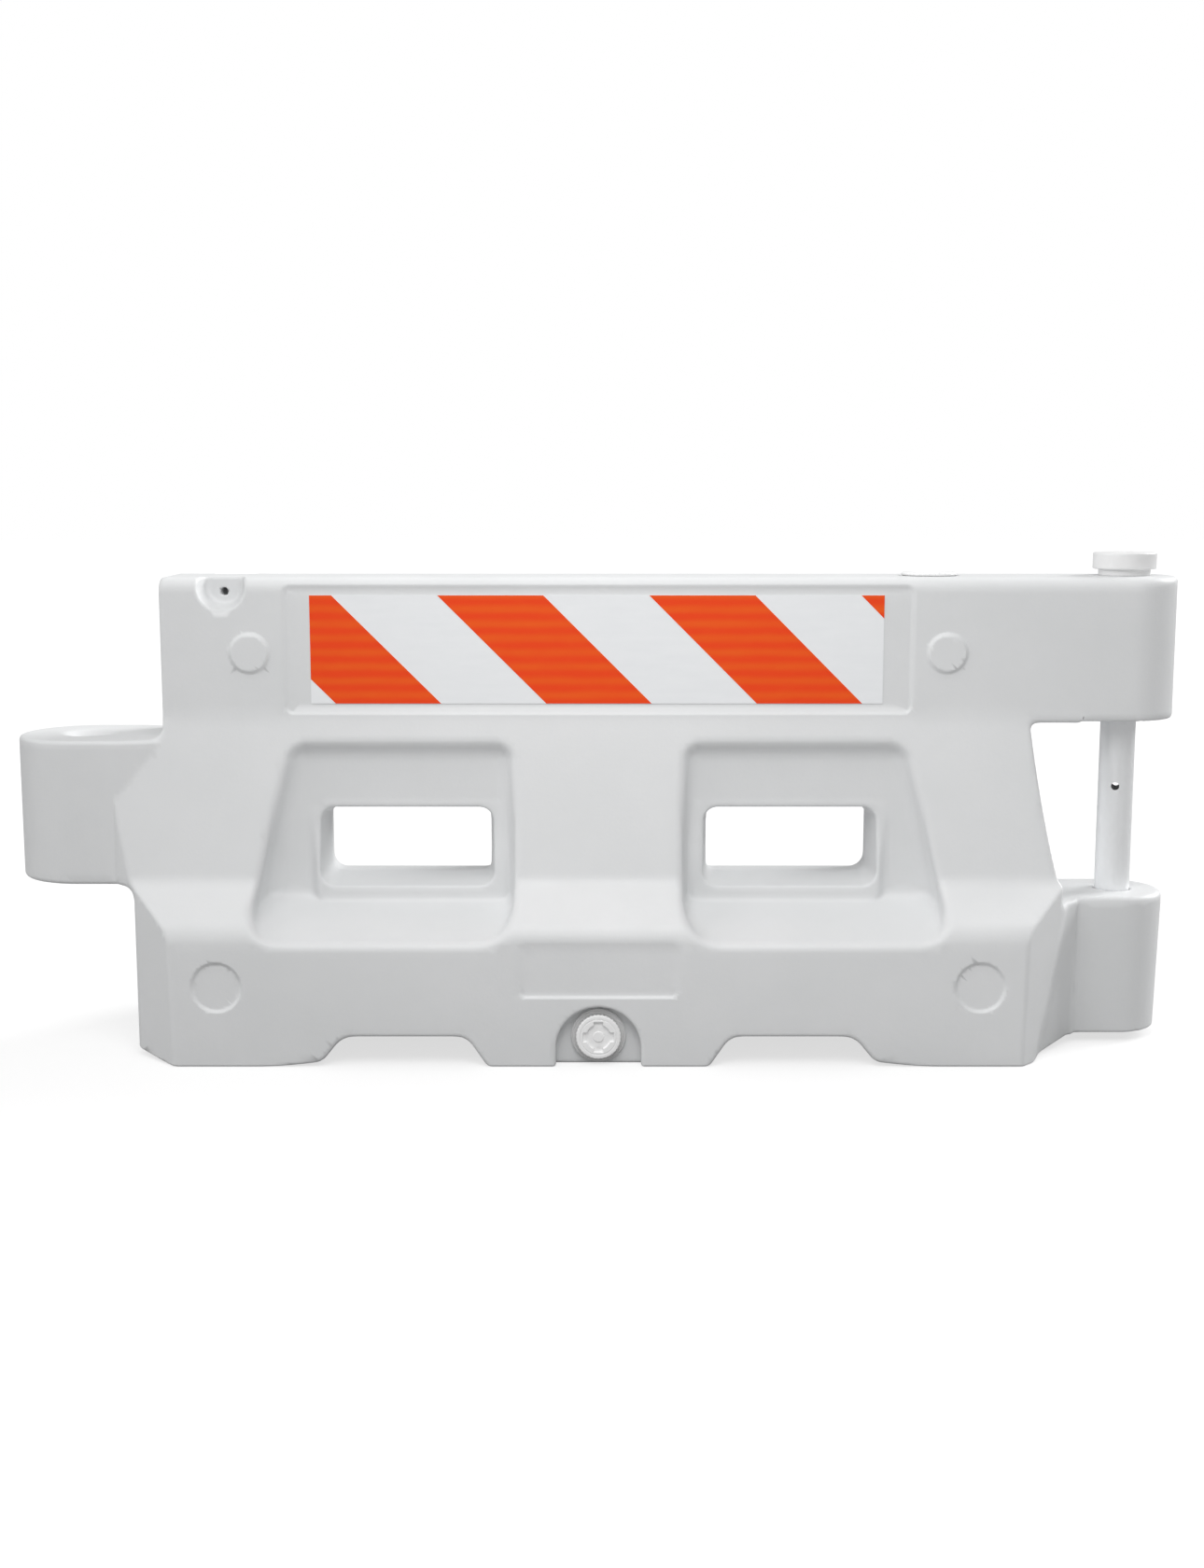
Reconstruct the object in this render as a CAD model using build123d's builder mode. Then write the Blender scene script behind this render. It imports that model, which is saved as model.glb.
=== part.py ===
"""Water-fillable plastic barrier module with end knuckles, a lift-out coupling pin, drain plug and fill cap.

Millimetres, +Z up, ground at z = 0. The front face looks towards -Y, the single knuckle is at -X and the
two-eared knuckle with its pin is at +X. Positions are first given from the moulding's own middle plane,
and BODY_X then centres the whole length on x = 0.
"""

import os
from math import atan, cos, degrees, radians, sin

from build123d import *

# ---- overall moulding --------------------------------------------------------------------------------
WALL_TOP = 813.0  # height of the moulding, 32 in
BASE_HALF = 228.0  # half the base width, 18 in overall
LEDGE_Z, LEDGE_HALF = 228.0, 222.0  # upper edge of the base's upright front
HIP_Z, HIP_HALF = 301.0, 150.0  # inner edge of the sloping ledge
NECK_Z, NECK_HALF = 577.0, 90.0  # where the long slope meets the upright upper wall
SHELL_WALL = 6.0  # moulded wall thickness
TOP_ROUND, LEDGE_ROUND, SOLE_ROUND = 22.0, 14.0, 4.0

# ---- ends ---------------------------------------------------------------------------------------------
CHAMFER_START_X, CHAMFER_START_Y = 720.0, 222.0  # plan corners of the base, cut at about 45 degrees
CHAMFER_END_X, CHAMFER_END_Y = 828.0, 119.0
UPPER_END_X = 745.0  # left end of the upper wall
BASE_END_X = 790.0  # left end of the base, under the knuckle
TOE_X, TOE_RISE_Z = 720.0, 13.0  # the left end's underside lifts slightly from here
HEEL_X = 735.0  # the right end's underside starts to rise here

LEFT_AXIS_X = 893.0  # single knuckle
LEFT_R = 119.0
LEFT_BOTTOM, LEFT_TOP = 290.0, 538.0
LEFT_BORE_R = 36.0
LEFT_FLARE_R, LEFT_FLARE_DEPTH = 47.0, 11.0
LEFT_NECK_X, LEFT_NECK_HALF = 735.0, 95.0  # where the knuckle's sides run into the wall

RIGHT_AXIS_X = 911.0  # two-eared knuckle
RIGHT_R = NECK_HALF  # the upper ear carries on at the wall's thickness
UPPER_EAR_BOTTOM = 565.0
LOWER_EAR_BOTTOM, LOWER_EAR_TOP = 17.0, 261.0
LOWER_EAR_R, LOWER_EAR_DRAFT = 85.5, 1.4  # nose radius at its top, narrowing downwards by this many degrees
FLARE_X, FLARE_Y, FLARE_REACH, FLARE_LEAN = 818.0, 90.0, 160.0, 12.0  # web from base end to lower ear
POCKET_R = 193.0  # round clearance for the next module's knuckle

BODY_X = (LEFT_AXIS_X + LEFT_R - RIGHT_AXIS_X - RIGHT_R) / 2  # centres the length on x = 0

# ---- forklift recesses, slots and channels --------------------------------------------------------------
SLOT_INNER_X, SLOT_OUTER_X = 190.0, 470.0  # at the middle plane, opening outwards both ways
SLOT_BOTTOM, SLOT_TOP, SLOT_ROUND, SLOT_DRAFT = 293.0, 410.0, 16.0, 6.5
RECESS_INNER_X, RECESS_OUTER_TOP_X, RECESS_OUTER_LOW_X = 147.0, 525.0, 592.0
RECESS_TOP, RECESS_BOTTOM = 531.0, 207.0
RECESS_FLOOR_Y = 80.0
RECESS_ROUND_TOP, RECESS_ROUND_LOW = 28.0, 68.0
RAMP_INNER_Z = 262.0  # the recess floor ramps down and out from here
COLLAR_PROUD, COLLAR_ROUND = 12.0, 24.0  # flat collar round each slot
COLLAR_X, COLLAR_HALF, COLLAR_BOTTOM, COLLAR_TOP = 323.0, 167.0, 247.0, 425.0
CHANNEL = ((187.0, 0.0), (222.0, 51.0), (430.0, 51.0), (465.0, 8.0), (525.0, 0.0))  # arch through the base

# ---- small moulded features -----------------------------------------------------------------------------
FRAME_HALF, FRAME_BOTTOM, FRAME_TOP = 535.0, 581.0, 799.0  # shallow recess round the reflective sheeting
FRAME_DEPTH, FRAME_ROUND = 4.0, 14.0
BOSS_X, BOSS_Z, BOSS_R, BOSS_PROUD = 593.0, 685.0, 36.0, 5.0
DISC_X, DISC_Z, DISC_R, DISC_FLOOR_Y = 640.0, 136.0, 44.0, 221.0
PANEL_HALF, PANEL_BOTTOM, PANEL_TOP, PANEL_FLOOR_Y, PANEL_ROUND = 134.0, 117.0, 212.0, 220.0, 12.0
LIGHT_X, LIGHT_LIP_R, LIGHT_FLOOR_R, LIGHT_DEPTH = -639.5, 41.5, 31.5, 39.0
LIGHT_CENTRE_Z, LIGHT_HOLE_Z, LIGHT_HOLE_R = 798.5, 788.0, 6.8

# ---- drain -------------------------------------------------------------------------------------------------
DRAIN_Z = 50.0
NICHE_HALF, NICHE_TOP, NICHE_FLOOR_Y = 71.5, 102.0, 204.0
DRAIN_FLANGE_R, DRAIN_FLANGE_T = 46.0, 6.0
DRAIN_SLEEVE_R, DRAIN_SLEEVE_IN = 34.5, 8.0  # moulded-in sleeve, and how far it stands into the hollow
DRAIN_HEAD_R, DRAIN_HEAD_T = 38.0, 9.0
DRAIN_SHANK_R, DRAIN_SHANK_L = 29.5, 18.0
DRAIN_GASKET_T = 3.0

# ---- fill opening -------------------------------------------------------------------------------------------
FILL_X = 573.0
FILL_SEAT_R, FILL_SEAT_DEPTH = 50.3, 6.0
FILL_FLANGE_R, FILL_FLANGE_T = 50.0, 4.0
FILL_SLEEVE_R, FILL_SLEEVE_IN = 41.0, 12.0
FILL_SHANK_R, FILL_SHANK_L = 35.5, 18.0
FILL_HEAD_R, FILL_HEAD_T = 48.0, 6.0
FILL_GASKET_T = FILL_SEAT_DEPTH - FILL_FLANGE_T

# ---- tool recess shared by plug and cap -------------------------------------------------------------------
TOOL_DEPTH, NOTCH_LONG, NOTCH_WIDE = 4.0, 10.0, 3.2
PLUG_TOOL_R, CAP_TOOL_R, TOOL_BUTTON_R = 25.0, 30.0, 9.0
TOOL_BUTTON_H = 1.6

# ---- coupling pin -------------------------------------------------------------------------------------------
PIN_R, PIN_BORE_R = 30.15, 26.25  # 2 in nominal pipe
PIN_BOTTOM = 28.0
PIN_HOLE_Z, PIN_HOLE_R, PIN_HOLE_TURN = 447.0, 7.0, 16.0
EAR_BORE_R = 32.0
HUB_R, HUB_T = 44.0, 11.0
HEAD_R, HEAD_T = 53.75, 29.0
SPIGOT_L = 40.0

# ---- reflective sheeting ------------------------------------------------------------------------------------
SHEET_CENTRE_X, SHEET_HALF = -2.7, 487.0
SHEET_BOTTOM, SHEET_TOP, SHEET_T = 599.0, 783.0, 1.2
STRIPE_PITCH, STRIPE_START, STRIPE_T = 179.5, -272.9, 0.4

# ---- clearances -----------------------------------------------------------------------------------------------
INSERT_GAP = 0.1  # moulded-in insert against the shell
LOOSE_GAP = 0.3  # screwed and pushed-in pieces, radially
FAR = 400.0  # reaches past the moulding on any side

PLAN = Plane(origin=(BODY_X, 0, 0))
SIDE = Plane(origin=(BODY_X, 0, 0), x_dir=(1, 0, 0), z_dir=(0, -1, 0))
SECTION = Plane(origin=(BODY_X, 0, 0), x_dir=(0, 1, 0), z_dir=(1, 0, 0))


def face_plane(side, distance):
    """A plane parallel to the long face on one side (-1 front, 1 back), as seen from outside."""
    return Plane(origin=(BODY_X, side * distance, 0), x_dir=(-side, 0, 0), z_dir=(0, side, 0))


def outline(plane, points, grow=0.0, rounds=()):
    """A filled polygon on a plane, grown or shrunk square to its sides, with chosen corners rounded."""
    with BuildSketch(plane) as shape:
        with BuildLine():
            Polyline(*points, close=True)
        make_face()
        if grow:
            offset(amount=grow, kind=Kind.INTERSECTION)
        for corner, radius in rounds:
            fillet(shape.vertices().sort_by_distance((corner[0], corner[1], 0))[0], radius)
    return shape.sketch


def flare(hand, inset):
    """The web that carries one slanting base end round to the lower ear, every face moved inwards by inset."""
    side_view = [(HEEL_X - 25, 0), (HEEL_X, 0), (CHAMFER_END_X + 4, LOWER_EAR_BOTTOM),
                 (CHAMFER_END_X + 4, LOWER_EAR_TOP), (HEEL_X - 25, LOWER_EAR_TOP)]
    face = Vector(1.0, hand * 0.9, -FLARE_LEAN / LOWER_EAR_TOP).normalized()
    origin = Vector(BODY_X + FLARE_X, hand * FLARE_Y, 0) - face * inset
    with BuildPart() as web:
        extrude(outline(face_plane(hand, LOWER_EAR_R - 25), [(hand * -x, z) for x, z in side_view], -inset),
                amount=FLARE_REACH - LOWER_EAR_R + 25 - inset)
        split(bisect_by=Plane(origin=origin, z_dir=face), keep=Keep.BOTTOM)
    return web.part


def moulding(inset):
    """The solid form of the moulding without its openings, every face moved inwards by inset."""
    half = [(BASE_HALF, 0), (LEDGE_HALF, LEDGE_Z), (HIP_HALF, HIP_Z), (NECK_HALF, NECK_Z), (NECK_HALF, WALL_TOP)]
    profile = half + [(-y, z) for y, z in reversed(half)]
    rounds = []
    for hand in (-1, 1):
        rounds.append(((hand * NECK_HALF, WALL_TOP), TOP_ROUND - inset))
        rounds.append(((hand * LEDGE_HALF, LEDGE_Z), LEDGE_ROUND - inset))
        rounds.append(((hand * BASE_HALF, 0), max(SOLE_ROUND - inset, 1)))
    slope = (CHAMFER_START_X - CHAMFER_END_X) / (CHAMFER_START_Y - CHAMFER_END_Y)
    wide = BASE_HALF + 4
    wide_x = CHAMFER_START_X + slope * (wide - CHAMFER_START_Y)
    quarter = [(wide_x, wide), (CHAMFER_END_X, CHAMFER_END_Y)]
    plan = quarter + [(x, -y) for x, y in reversed(quarter)]
    plan += [(-x, -y) for x, y in quarter] + [(-x, y) for x, y in reversed(quarter)]
    silhouette = [
        (-TOE_X, 0), (-BASE_END_X, TOE_RISE_Z), (-BASE_END_X, LEFT_BOTTOM), (-CHAMFER_END_X, LEFT_BOTTOM),
        (-CHAMFER_END_X, LEFT_TOP), (-UPPER_END_X, LEFT_TOP), (-UPPER_END_X, WALL_TOP),
        (CHAMFER_END_X, WALL_TOP), (CHAMFER_END_X, LOWER_EAR_BOTTOM), (HEEL_X, 0),
    ]
    silhouette_rounds = [((-UPPER_END_X, WALL_TOP), TOP_ROUND - inset), ((-TOE_X, 0), 30 - inset)]
    with BuildPart() as form:
        extrude(outline(SECTION, profile, -inset, rounds), amount=LEFT_AXIS_X, both=True)
        extrude(outline(PLAN, plan, -inset), amount=WALL_TOP, mode=Mode.INTERSECT)
        extrude(outline(SIDE, silhouette, -inset, silhouette_rounds), amount=FAR, both=True, mode=Mode.INTERSECT)
        # slanting right-hand ends of the base, either side of the lower ear
        for hand in (-1, 1):
            tilt = Vector(0.92, hand * 0.37, -0.13).normalized()
            origin = Vector(BODY_X + HEEL_X, hand * 210, 0) - tilt * inset
            split(bisect_by=Plane(origin=origin, z_dir=tilt), keep=Keep.BOTTOM)
        for hand in (-1, 1):
            add(flare(hand, inset))
        # single knuckle
        with BuildSketch(PLAN.offset(LEFT_BOTTOM + inset)):
            with Locations((-LEFT_AXIS_X, 0)):
                Circle(LEFT_R - inset)
            with BuildLine():
                left_half = [(-LEFT_AXIS_X, LEFT_R - inset), (-CHAMFER_END_X, LEFT_R - inset),
                             (-LEFT_NECK_X, LEFT_NECK_HALF - inset), (-LEFT_NECK_X + 20, LEFT_NECK_HALF - inset)]
                Polyline(*left_half, *[(x, -y) for x, y in reversed(left_half)], close=True)
            make_face()
        extrude(amount=LEFT_TOP - LEFT_BOTTOM - 2 * inset)
        # upper and lower ears, built downwards from their tops
        ears = ((UPPER_EAR_BOTTOM, WALL_TOP, RIGHT_R, 0),
                (LOWER_EAR_BOTTOM, LOWER_EAR_TOP, LOWER_EAR_R, LOWER_EAR_DRAFT))
        for low, high, radius, draft in ears:
            with BuildSketch(PLAN.offset(high - inset)):
                with Locations((RIGHT_AXIS_X, 0)):
                    Circle(radius - inset)
                root = RIGHT_AXIS_X - UPPER_END_X
                with Locations((RIGHT_AXIS_X - root / 2, 0)):
                    Rectangle(root, 2 * (radius - inset))
            extrude(amount=-(high - low - 2 * inset), taper=draft)
    return form.part


def fork_recesses(grow):
    """The four scooped forklift recesses, two on each long face."""
    with BuildPart() as scoops:
        for side in (-1, 1):
            for hand in (-1, 1):
                inner, outer, low = (hand * x for x in (RECESS_INNER_X, RECESS_OUTER_TOP_X, RECESS_OUTER_LOW_X))
                corners = [(inner, RECESS_BOTTOM), (inner, RECESS_TOP), (outer, RECESS_TOP), (low, RECESS_BOTTOM)]
                radii = (RECESS_ROUND_LOW, RECESS_ROUND_TOP, RECESS_ROUND_TOP, RECESS_ROUND_LOW)
                rounds = [(corner, radius + grow) for corner, radius in zip(corners, radii)]
                extrude(outline(face_plane(side, RECESS_FLOOR_Y - grow), corners, grow, rounds), amount=FAR)
        ramp = (RAMP_INNER_Z - RECESS_BOTTOM) / (LEDGE_HALF - RECESS_FLOOR_Y)
        reach = 2 * LEDGE_HALF
        ramp_end = RECESS_BOTTOM - ramp * (reach - LEDGE_HALF)
        section = [(-reach, ramp_end), (-RECESS_FLOOR_Y, RAMP_INNER_Z), (RECESS_FLOOR_Y, RAMP_INNER_Z),
                   (reach, ramp_end), (reach, WALL_TOP), (-reach, WALL_TOP)]
        extrude(outline(SECTION, section, grow), amount=LEFT_AXIS_X, both=True, mode=Mode.INTERSECT)
    return scoops.part


def openings(grow):
    """Every other opening, bore and recess; grow thickens them so that a wall stays round each one."""
    with BuildPart() as cuts:
        # forklift slots and the arched channels through the base
        with BuildSketch(SIDE):
            with Locations(*[(hand * (SLOT_INNER_X + SLOT_OUTER_X) / 2, (SLOT_BOTTOM + SLOT_TOP) / 2)
                             for hand in (-1, 1)]):
                RectangleRounded(SLOT_OUTER_X - SLOT_INNER_X + 2 * grow, SLOT_TOP - SLOT_BOTTOM + 2 * grow,
                                 SLOT_ROUND + grow)
        extrude(amount=RECESS_FLOOR_Y + COLLAR_PROUD + 3, both=True, taper=-SLOT_DRAFT)
        for hand in (-1, 1):
            arch = [(hand * x, z) for x, z in CHANNEL]
            arch = [(arch[0][0], -20)] + arch + [(arch[-1][0], -20)]
            extrude(outline(SIDE, arch, grow, [(arch[2], 14 + grow), (arch[3], 14 + grow)]), amount=FAR, both=True)
        # round pocket for the neighbour's knuckle, and the pin bores in both ears
        with BuildSketch(PLAN.offset(LOWER_EAR_TOP - grow)):
            with Locations((RIGHT_AXIS_X, 0)):
                Circle(POCKET_R + grow)
        extrude(amount=UPPER_EAR_BOTTOM - LOWER_EAR_TOP + 2 * grow)
        with BuildSketch(PLAN.offset(-20)):
            with Locations((RIGHT_AXIS_X, 0)):
                Circle(EAR_BORE_R + grow)
        extrude(amount=WALL_TOP + 40)
        # bore of the single knuckle with flared mouths
        with BuildSketch(PLAN.offset(LEFT_BOTTOM - 5)):
            with Locations((-LEFT_AXIS_X, 0)):
                Circle(LEFT_BORE_R + grow)
        extrude(amount=LEFT_TOP - LEFT_BOTTOM + 10)
        deep = LEFT_FLARE_DEPTH + grow
        with Locations(PLAN * Location((-LEFT_AXIS_X, 0, LEFT_TOP - deep / 2))):
            Cone(LEFT_BORE_R + grow, LEFT_FLARE_R + grow, deep)
        with Locations(PLAN * Location((-LEFT_AXIS_X, 0, LEFT_BOTTOM + deep / 2))):
            Cone(LEFT_FLARE_R + grow, LEFT_BORE_R + grow, deep)
        # shallow recesses on both long faces
        for side in (-1, 1):
            with BuildSketch(face_plane(side, NECK_HALF - FRAME_DEPTH - grow)):
                with Locations((0, (FRAME_BOTTOM + FRAME_TOP) / 2)):
                    RectangleRounded(2 * (FRAME_HALF + grow), FRAME_TOP - FRAME_BOTTOM + 2 * grow,
                                     FRAME_ROUND + grow)
            extrude(amount=30)
            with BuildSketch(face_plane(side, DISC_FLOOR_Y - grow)):
                with Locations((-DISC_X, DISC_Z), (DISC_X, DISC_Z)):
                    Circle(DISC_R + grow)
            extrude(amount=60)
            # warning-light bolt recess, open to the top, drawn in from its lip
            light_x = -side * LIGHT_X
            with BuildSketch(face_plane(side, NECK_HALF)):
                with Locations((light_x, LIGHT_CENTRE_Z)):
                    Circle(LIGHT_LIP_R + grow)
                with Locations((light_x, LIGHT_CENTRE_Z + 40)):
                    Rectangle(2 * (LIGHT_LIP_R + grow), 80)
            draft = degrees(atan((LIGHT_LIP_R - LIGHT_FLOOR_R) / LIGHT_DEPTH))
            extrude(amount=-(LIGHT_DEPTH + grow), taper=draft)
            with BuildSketch(face_plane(side, NECK_HALF)):
                with Locations((light_x, LIGHT_CENTRE_Z)):
                    Circle(LIGHT_LIP_R + grow)
                with Locations((light_x, LIGHT_CENTRE_Z + 40)):
                    Rectangle(2 * (LIGHT_LIP_R + grow), 80)
            extrude(amount=20)
        with BuildSketch(SIDE):
            with Locations((LIGHT_X, LIGHT_HOLE_Z)):
                Circle(LIGHT_HOLE_R + grow)
        extrude(amount=NECK_HALF, both=True)
        # plain information panel and the drain's niche, on the front only
        with BuildSketch(face_plane(-1, PANEL_FLOOR_Y - grow)):
            with Locations((0, (PANEL_BOTTOM + PANEL_TOP) / 2)):
                RectangleRounded(2 * (PANEL_HALF + grow), PANEL_TOP - PANEL_BOTTOM + 2 * grow, PANEL_ROUND + grow)
        extrude(amount=60)
        with BuildSketch(face_plane(-1, NICHE_FLOOR_Y - grow)):
            with Locations((0, NICHE_TOP - NICHE_HALF)):
                Circle(NICHE_HALF + grow)
            with Locations((0, (NICHE_TOP - NICHE_HALF) / 2 - 20)):
                Rectangle(2 * (NICHE_HALF + grow), NICHE_TOP - NICHE_HALF + 40)
        extrude(amount=60)
        # seat of the fill opening
        with BuildSketch(PLAN.offset(WALL_TOP - FILL_SEAT_DEPTH - grow)):
            with Locations((FILL_X, 0)):
                Circle(FILL_SEAT_R + grow)
        extrude(amount=40)
    return cuts.part


# One hollow rotationally moulded piece; only the drain and fill holes lead into the hollow.
with BuildPart() as hollow:
    add(moulding(SHELL_WALL))
    add(fork_recesses(SHELL_WALL), mode=Mode.SUBTRACT)
    add(openings(SHELL_WALL), mode=Mode.SUBTRACT)

with BuildPart() as barrier_shell:
    add(moulding(0))
    add(fork_recesses(0), mode=Mode.SUBTRACT)
    for side in (-1, 1):
        # collar round the sides and bottom of each forklift slot, and the round bosses
        with BuildSketch(face_plane(side, RECESS_FLOOR_Y - SHELL_WALL / 2)):
            with Locations(*[(hand * COLLAR_X, (COLLAR_BOTTOM + COLLAR_TOP) / 2) for hand in (-1, 1)]):
                RectangleRounded(2 * COLLAR_HALF, COLLAR_TOP - COLLAR_BOTTOM, COLLAR_ROUND)
        extrude(amount=COLLAR_PROUD + SHELL_WALL / 2)
        with BuildSketch(face_plane(side, NECK_HALF - SHELL_WALL / 2)):
            with Locations((-BOSS_X, BOSS_Z), (BOSS_X, BOSS_Z)):
                Circle(BOSS_R)
        extrude(amount=BOSS_PROUD + SHELL_WALL / 2)
    add(openings(0), mode=Mode.SUBTRACT)
    add(hollow.part, mode=Mode.SUBTRACT)
    # drain hole and fill hole into the hollow
    with BuildSketch(face_plane(-1, NICHE_FLOOR_Y - 2 * SHELL_WALL)):
        with Locations((0, DRAIN_Z)):
            Circle(DRAIN_SLEEVE_R + INSERT_GAP)
    extrude(amount=3 * SHELL_WALL, mode=Mode.SUBTRACT)
    with BuildSketch(PLAN.offset(WALL_TOP - FILL_SEAT_DEPTH - 2 * SHELL_WALL)):
        with Locations((FILL_X, 0)):
            Circle(FILL_SLEEVE_R + INSERT_GAP)
    extrude(amount=3 * SHELL_WALL, mode=Mode.SUBTRACT)


def tool_recess(depth_plane, radius, depth, button, notch_at):
    """A round recess with a raised centre button and four tool notches round its rim."""
    with BuildSketch(depth_plane) as ring:
        Circle(radius - 4)
        Circle(TOOL_BUTTON_R, mode=Mode.SUBTRACT)
    extrude(ring.sketch, amount=-depth, mode=Mode.SUBTRACT)
    with BuildSketch(depth_plane) as centre:
        Circle(TOOL_BUTTON_R)
    extrude(centre.sketch, amount=-(depth - button), mode=Mode.SUBTRACT)
    with BuildSketch(depth_plane) as notches:
        with PolarLocations(notch_at, 4):
            Rectangle(NOTCH_WIDE, NOTCH_LONG)
    extrude(notches.sketch, amount=-depth, mode=Mode.SUBTRACT)


def tube(plane, outer, inner, length):
    """A plain round sleeve standing on a plane."""
    with BuildSketch(plane) as ring:
        Circle(outer)
        Circle(inner, mode=Mode.SUBTRACT)
    extrude(ring.sketch, amount=length)


def drain_plane(distance):
    """A plane square to the drain's axis, looking out of the front."""
    return Plane(origin=(BODY_X, -distance, DRAIN_Z), x_dir=(1, 0, 0), z_dir=(0, -1, 0))


def fill_plane(height):
    """A plane square to the fill opening's axis, looking up."""
    return Plane(origin=(BODY_X + FILL_X, 0, height))


# Drain: moulded-in threaded bushing, gasket and plug, from the niche floor outwards.
drain_face = NICHE_FLOOR_Y + DRAIN_FLANGE_T
with BuildPart() as drain_bushing:
    bushing_back = NICHE_FLOOR_Y - SHELL_WALL - DRAIN_SLEEVE_IN
    tube(drain_plane(bushing_back), DRAIN_SLEEVE_R, DRAIN_SHANK_R + LOOSE_GAP, NICHE_FLOOR_Y - bushing_back)
    tube(drain_plane(NICHE_FLOOR_Y), DRAIN_FLANGE_R, DRAIN_SHANK_R + LOOSE_GAP, DRAIN_FLANGE_T)
    chamfer(drain_bushing.edges().filter_by(GeomType.CIRCLE).sort_by(Axis.Y)[0:1], 0.8)

with BuildPart() as drain_gasket:
    tube(drain_plane(drain_face), DRAIN_HEAD_R - 1.5, DRAIN_SHANK_R + LOOSE_GAP, DRAIN_GASKET_T)

plug_seat = drain_face + DRAIN_GASKET_T
with BuildPart() as drain_plug:
    with BuildSketch(drain_plane(plug_seat)):
        Circle(DRAIN_HEAD_R)
    extrude(amount=DRAIN_HEAD_T)
    chamfer(drain_plug.faces().sort_by(Axis.Y)[0].edges(), 1.5)
    with BuildSketch(drain_plane(plug_seat)):
        Circle(DRAIN_SHANK_R)
    extrude(amount=-DRAIN_SHANK_L)
    tool_recess(drain_plane(plug_seat + DRAIN_HEAD_T), PLUG_TOOL_R, TOOL_DEPTH, TOOL_BUTTON_H, PLUG_TOOL_R - 3)

# Fill opening: moulded-in neck, gasket and cap.
fill_seat = WALL_TOP - FILL_SEAT_DEPTH
with BuildPart() as fill_neck:
    tube(fill_plane(fill_seat), FILL_FLANGE_R, FILL_SHANK_R + LOOSE_GAP, FILL_FLANGE_T)
    tube(fill_plane(fill_seat), FILL_SLEEVE_R, FILL_SHANK_R + LOOSE_GAP, -(SHELL_WALL + FILL_SLEEVE_IN))

with BuildPart() as fill_gasket:
    tube(fill_plane(fill_seat + FILL_FLANGE_T), FILL_HEAD_R - 2, FILL_SHANK_R + LOOSE_GAP, FILL_GASKET_T)

with BuildPart() as fill_cap:
    with BuildSketch(fill_plane(WALL_TOP)):
        Circle(FILL_HEAD_R)
    extrude(amount=FILL_HEAD_T)
    chamfer(fill_cap.faces().sort_by(Axis.Z)[-1].edges(), 1.5)
    with BuildSketch(fill_plane(WALL_TOP)):
        Circle(FILL_SHANK_R)
    extrude(amount=-FILL_SHANK_L)
    tool_recess(fill_plane(WALL_TOP + FILL_HEAD_T), CAP_TOOL_R, TOOL_DEPTH, TOOL_BUTTON_H, CAP_TOOL_R - 3)


def pin_plane(height):
    """A plane square to the coupling pin's axis, looking up."""
    return Plane(origin=(BODY_X + RIGHT_AXIS_X, 0, height))


# Coupling pin: a steel tube hanging from a plastic head that rests on the upper ear.
hub_top = WALL_TOP + HUB_T
with BuildPart() as pin_tube:
    tube(pin_plane(PIN_BOTTOM), PIN_R, PIN_BORE_R, hub_top - PIN_BOTTOM)
    turn = radians(PIN_HOLE_TURN)
    with BuildSketch(Plane(origin=(BODY_X + RIGHT_AXIS_X, 0, PIN_HOLE_Z), x_dir=(cos(turn), -sin(turn), 0),
                           z_dir=(-sin(turn), -cos(turn), 0))):
        Circle(PIN_HOLE_R)
    extrude(amount=2 * PIN_R, both=True, mode=Mode.SUBTRACT)

with BuildPart() as pin_head:
    tube(pin_plane(WALL_TOP), HUB_R, PIN_R + INSERT_GAP, HUB_T)
    with BuildSketch(pin_plane(hub_top)):
        Circle(HEAD_R)
    extrude(amount=HEAD_T)
    fillet(pin_head.faces().sort_by(Axis.Z)[-1].edges(), 4)
    with BuildSketch(pin_plane(hub_top)):
        Circle(PIN_BORE_R - INSERT_GAP)
    extrude(amount=-SPIGOT_L)

# Reflective sheeting on both faces: a white sheet, and the orange strips laid on it.
sheets, stripes = {}, {}
for side in (-1, 1):
    floor_y = NECK_HALF - FRAME_DEPTH
    middle_z = (SHEET_BOTTOM + SHEET_TOP) / 2
    tall = SHEET_TOP - SHEET_BOTTOM
    with BuildPart() as sheet:
        with BuildSketch(face_plane(side, floor_y)):
            with Locations((SHEET_CENTRE_X, middle_z)):
                Rectangle(2 * SHEET_HALF, tall)
        extrude(amount=SHEET_T)
    sheets[side] = sheet.part
    with BuildPart() as strips:
        with BuildSketch(face_plane(side, floor_y + SHEET_T)):
            for index in range(-1, 3):
                start = STRIPE_START + 2 * STRIPE_PITCH * index
                with BuildLine():
                    Polyline((start, SHEET_TOP), (start + STRIPE_PITCH, SHEET_TOP),
                             (start + STRIPE_PITCH + tall, SHEET_BOTTOM), (start + tall, SHEET_BOTTOM), close=True)
                make_face()
            with Locations((SHEET_CENTRE_X, middle_z)):
                Rectangle(2 * SHEET_HALF, tall, mode=Mode.INTERSECT)
        extrude(amount=STRIPE_T)
    stripes[side] = strips.part

os.makedirs("parts", exist_ok=True)
pieces = {
    "barrier_shell": barrier_shell.part, "drain_bushing": drain_bushing.part, "drain_gasket": drain_gasket.part,
    "drain_plug": drain_plug.part, "fill_neck": fill_neck.part, "fill_gasket": fill_gasket.part,
    "fill_cap": fill_cap.part, "pin_tube": pin_tube.part, "pin_head": pin_head.part,
    "sheet_front": sheets[-1], "stripes_front": stripes[-1], "sheet_back": sheets[1], "stripes_back": stripes[1],
}
for label, piece in pieces.items():
    piece.label = label
    export_step(piece, "parts/" + label + ".step")
    print(label, round(piece.volume / 1000), "cm3")
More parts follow.
